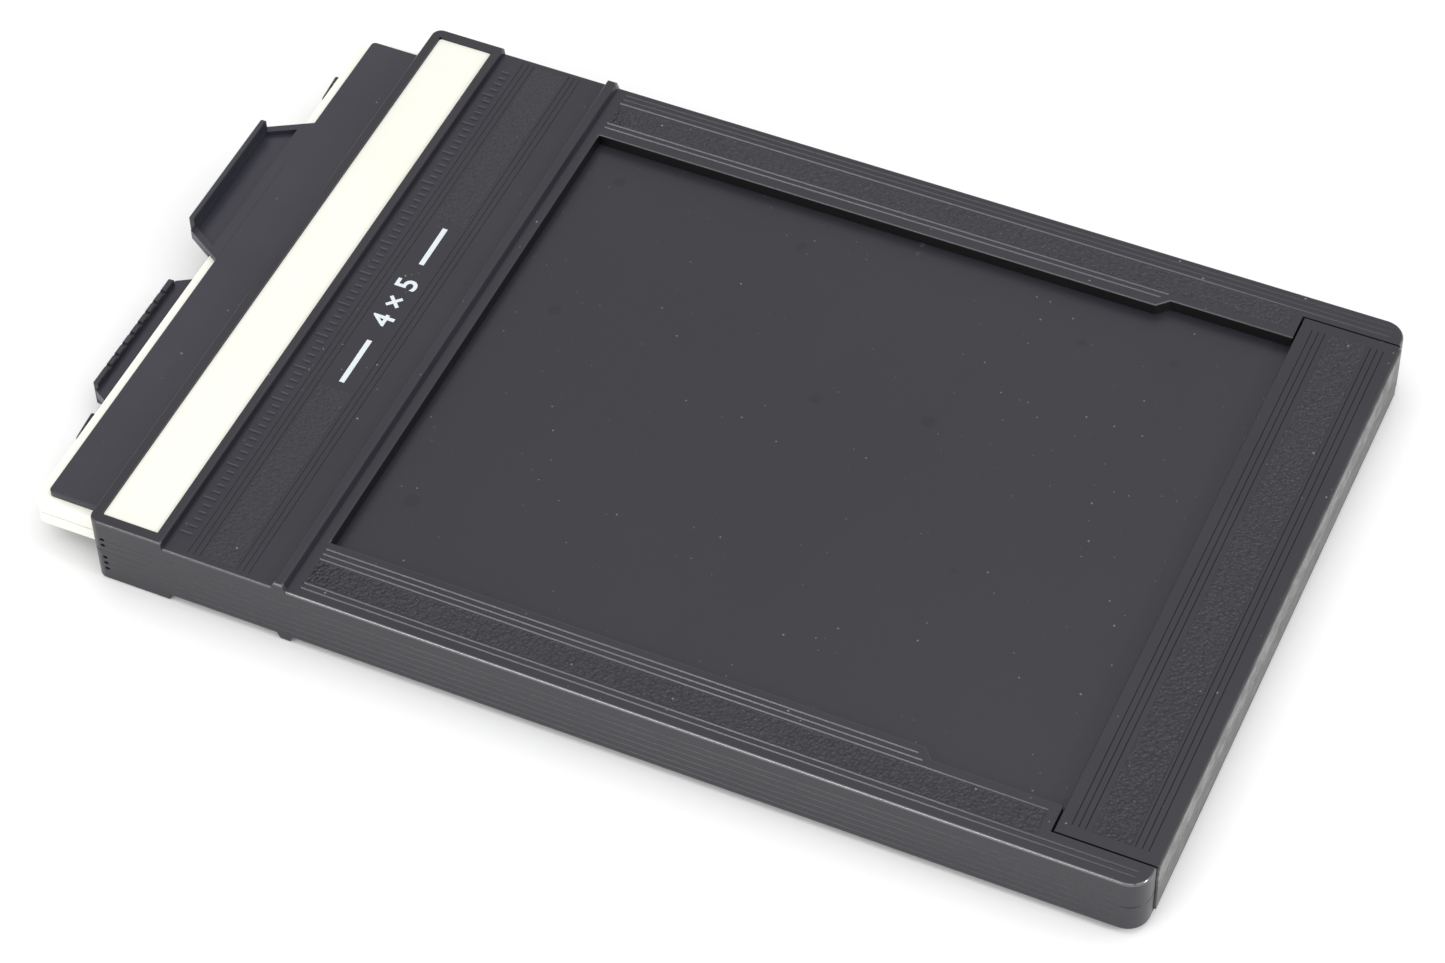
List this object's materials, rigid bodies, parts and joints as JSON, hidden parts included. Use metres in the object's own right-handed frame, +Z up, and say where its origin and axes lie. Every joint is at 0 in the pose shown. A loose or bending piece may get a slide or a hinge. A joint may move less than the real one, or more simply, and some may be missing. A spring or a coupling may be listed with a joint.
{
  "type": "double sided sheet film holder",
  "caption": "Flat black film holder with drawable dark slides on both faces, hinged loading flaps at one end and swivelling wire locks at the other.",
  "frame": {"origin": "bottom centre of the bounding box, on the plane the holder lies on", "axes": "+X along the holder from the slide handles to the loading flaps, +Y across it, +Z up"},
  "size_m": [0.1922, 0.12, 0.0136],
  "materials": {
    "black_plastic": "satin moulded, black, with leather-grain bands",
    "guide_plastic": "dull black",
    "septum_sheet": "dull black paint",
    "trap_felt": "black pile",
    "trap_spring": "rolled",
    "writing_strip": "matt ivory white",
    "slide_sheet": "smooth satin black",
    "handle_black": "satin black",
    "handle_white": "satin white",
    "hinge_cloth": "grey woven cloth",
    "lock_wire": "blackened steel wire"
  },
  "bodies": {
    "frame": {"upper_frame": "black_plastic", "lower_frame": "black_plastic", "septum": "septum_sheet", "upper_near_film_guide": "guide_plastic", "upper_far_film_guide": "guide_plastic", "lower_near_film_guide": "guide_plastic", "lower_far_film_guide": "guide_plastic", "upper_trap_felt": "trap_felt", "upper_trap_spring": "trap_spring", "lower_trap_felt": "trap_felt", "lower_trap_spring": "trap_spring", "upper_label": "writing_strip", "lower_label": "writing_strip"},
    "upper_slide": {"upper_slide_blade": "slide_sheet", "upper_slide_face": "handle_black", "upper_slide_back": "handle_white"},
    "lower_slide": {"lower_slide_blade": "slide_sheet", "lower_slide_face": "handle_black", "lower_slide_back": "handle_white"},
    "upper_loading_flap": {"upper_flap": "black_plastic", "upper_hinge_tape": "hinge_cloth"},
    "lower_loading_flap": {"lower_flap": "black_plastic", "lower_hinge_tape": "hinge_cloth"},
    "near_slide_lock": {"near_lock": "lock_wire"},
    "far_slide_lock": {"far_lock": "lock_wire"}
  },
  "joints": [
    {"name": "upper_slide_draw", "type": "slide", "parent": "frame", "child": "upper_slide", "axis": [1, 0, 0], "range_m": [-0.15, 0]},
    {"name": "lower_slide_draw", "type": "slide", "parent": "frame", "child": "lower_slide", "axis": [-1, 0, 0], "range_m": [0, 0.15]},
    {"name": "upper_flap_hinge", "type": "hinge", "parent": "frame", "child": "upper_loading_flap", "pos_m": [0.09605, 0, 0.0068], "axis": [0, -1, 0], "range_deg": [-170, 0]},
    {"name": "lower_flap_hinge", "type": "hinge", "parent": "frame", "child": "lower_loading_flap", "pos_m": [0.09605, 0, 0.0068], "axis": [0, -1, 0], "range_deg": [0, 170]},
    {"name": "near_lock_swivel", "type": "hinge", "parent": "frame", "child": "near_slide_lock", "pos_m": [-0.0784, -0.042, 0.0068], "axis": [1, 0, 0], "range_deg": [-90, 90]},
    {"name": "far_lock_swivel", "type": "hinge", "parent": "frame", "child": "far_slide_lock", "pos_m": [-0.0784, 0.042, 0.0068], "axis": [1, 0, 0], "range_deg": [-90, 90]}
  ]
}
